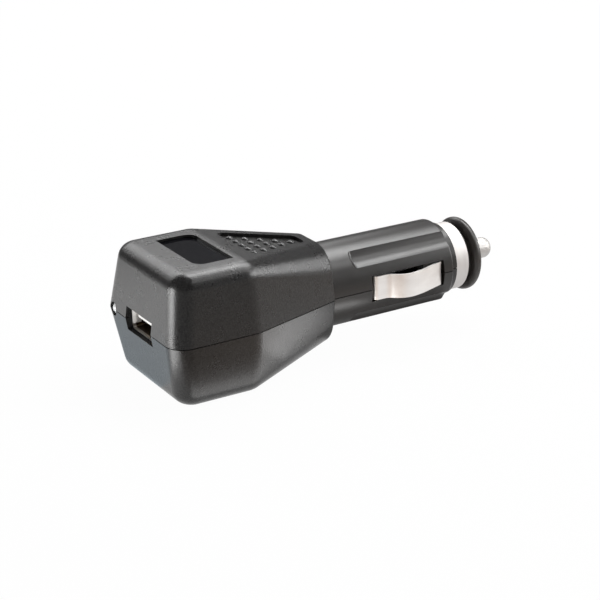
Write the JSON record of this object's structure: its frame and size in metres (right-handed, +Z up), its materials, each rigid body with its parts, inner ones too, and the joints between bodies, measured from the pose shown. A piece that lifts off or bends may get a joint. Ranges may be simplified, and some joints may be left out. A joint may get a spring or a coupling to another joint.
{
  "type": "car usb charger plug",
  "caption": "Black car power plug with a boxy tapered head, a USB-A port and indicator lamp, side spring contacts, a screw end cap and a sprung, fused tip",
  "frame": {"origin": "on the plug axis, in the plane where the barrel leaves the head", "axes": "+X along the plug axis to the tip, +Z up through the face with the two recesses, seam between the shells in z = 0"},
  "size_m": [0.0988, 0.0384, 0.0318],
  "materials": {
    "shell": "fine spark texture, satin black",
    "spring_strip": "bright nickel plate",
    "nose_ring": "bright nickel plate",
    "end_cap": "gloss black",
    "tip": "bright nickel plate",
    "fuse_glass": "clear",
    "fuse_cap": "nickel plate",
    "fuse_element": "bare wire",
    "spring": "drawn wire",
    "terminal": "stamped brass",
    "board": "solder mask",
    "usb_can": "tin plate",
    "usb_tongue": "white moulding",
    "usb_contact": "gold flash",
    "lamp": "water clear",
    "lead": "tinned",
    "ferrite": "sintered ferrite",
    "winding": "enamelled copper wire",
    "can": "printed sleeve over aluminium",
    "chip": "moulding compound",
    "chip_leg": "tinned",
    "resistor": "ceramic chip"
  },
  "bodies": {
    "housing": {"top_shell": "shell", "bottom_shell": "shell", "fuse_spring": "spring", "spring_terminal": "terminal", "circuit_board": "board", "usb_shell": "usb_can", "usb_tongue": "usb_tongue", "usb_contacts": "usb_contact", "led_lens": "lamp", "led_leads": "lead", "inductor_core": "ferrite", "inductor_winding": "winding", "input_capacitor": "can", "output_capacitor": "can", "regulator_body": "chip", "regulator_legs": "chip_leg", "diode": "chip", "chip_resistors": "resistor"},
    "plunger": {"tip_contact": "tip", "fuse_cap_front": "fuse_cap", "fuse_glass": "fuse_glass", "fuse_element": "fuse_element", "fuse_cap_rear": "fuse_cap"},
    "left_contact": {"side_contact_left": "spring_strip"},
    "right_contact": {"side_contact_right": "spring_strip"},
    "ring": {"nose_ring": "nose_ring"},
    "cap": {"end_cap": "end_cap"}
  },
  "joints": [
    {"name": "tip_press", "type": "slide", "parent": "housing", "child": "plunger", "axis": [-1, 0, 0], "range_m": [0, 0.003], "stiffness_N_per_m": 1600, "springref_m": -0.003, "deforming": ["fuse_spring"]},
    {"name": "left_contact_flex", "type": "hinge", "parent": "housing", "child": "left_contact", "pos_m": [-0.0052, 0.00725, 0], "axis": [0, 0, -1], "range_deg": [0, 6], "stiffness_Nm_per_rad": 1.7},
    {"name": "right_contact_flex", "type": "hinge", "parent": "housing", "child": "right_contact", "pos_m": [-0.0052, -0.00725, 0], "axis": [0, 0, 1], "range_deg": [0, 6], "stiffness_Nm_per_rad": 1.7},
    {"name": "ring_slide", "type": "slide", "parent": "housing", "child": "ring", "axis": [1, 0, 0], "range_m": [0, 0.006]},
    {"name": "cap_turn", "type": "hinge", "parent": "ring", "child": "cap", "pos_m": [0.0425, 0, 0], "axis": [1, 0, 0], "range_deg": [0, 1440]}
  ],
  "couplings": [
    {"joint": "cap_turn", "follows": "ring_slide", "rad_per_m": 4188.8}
  ]
}
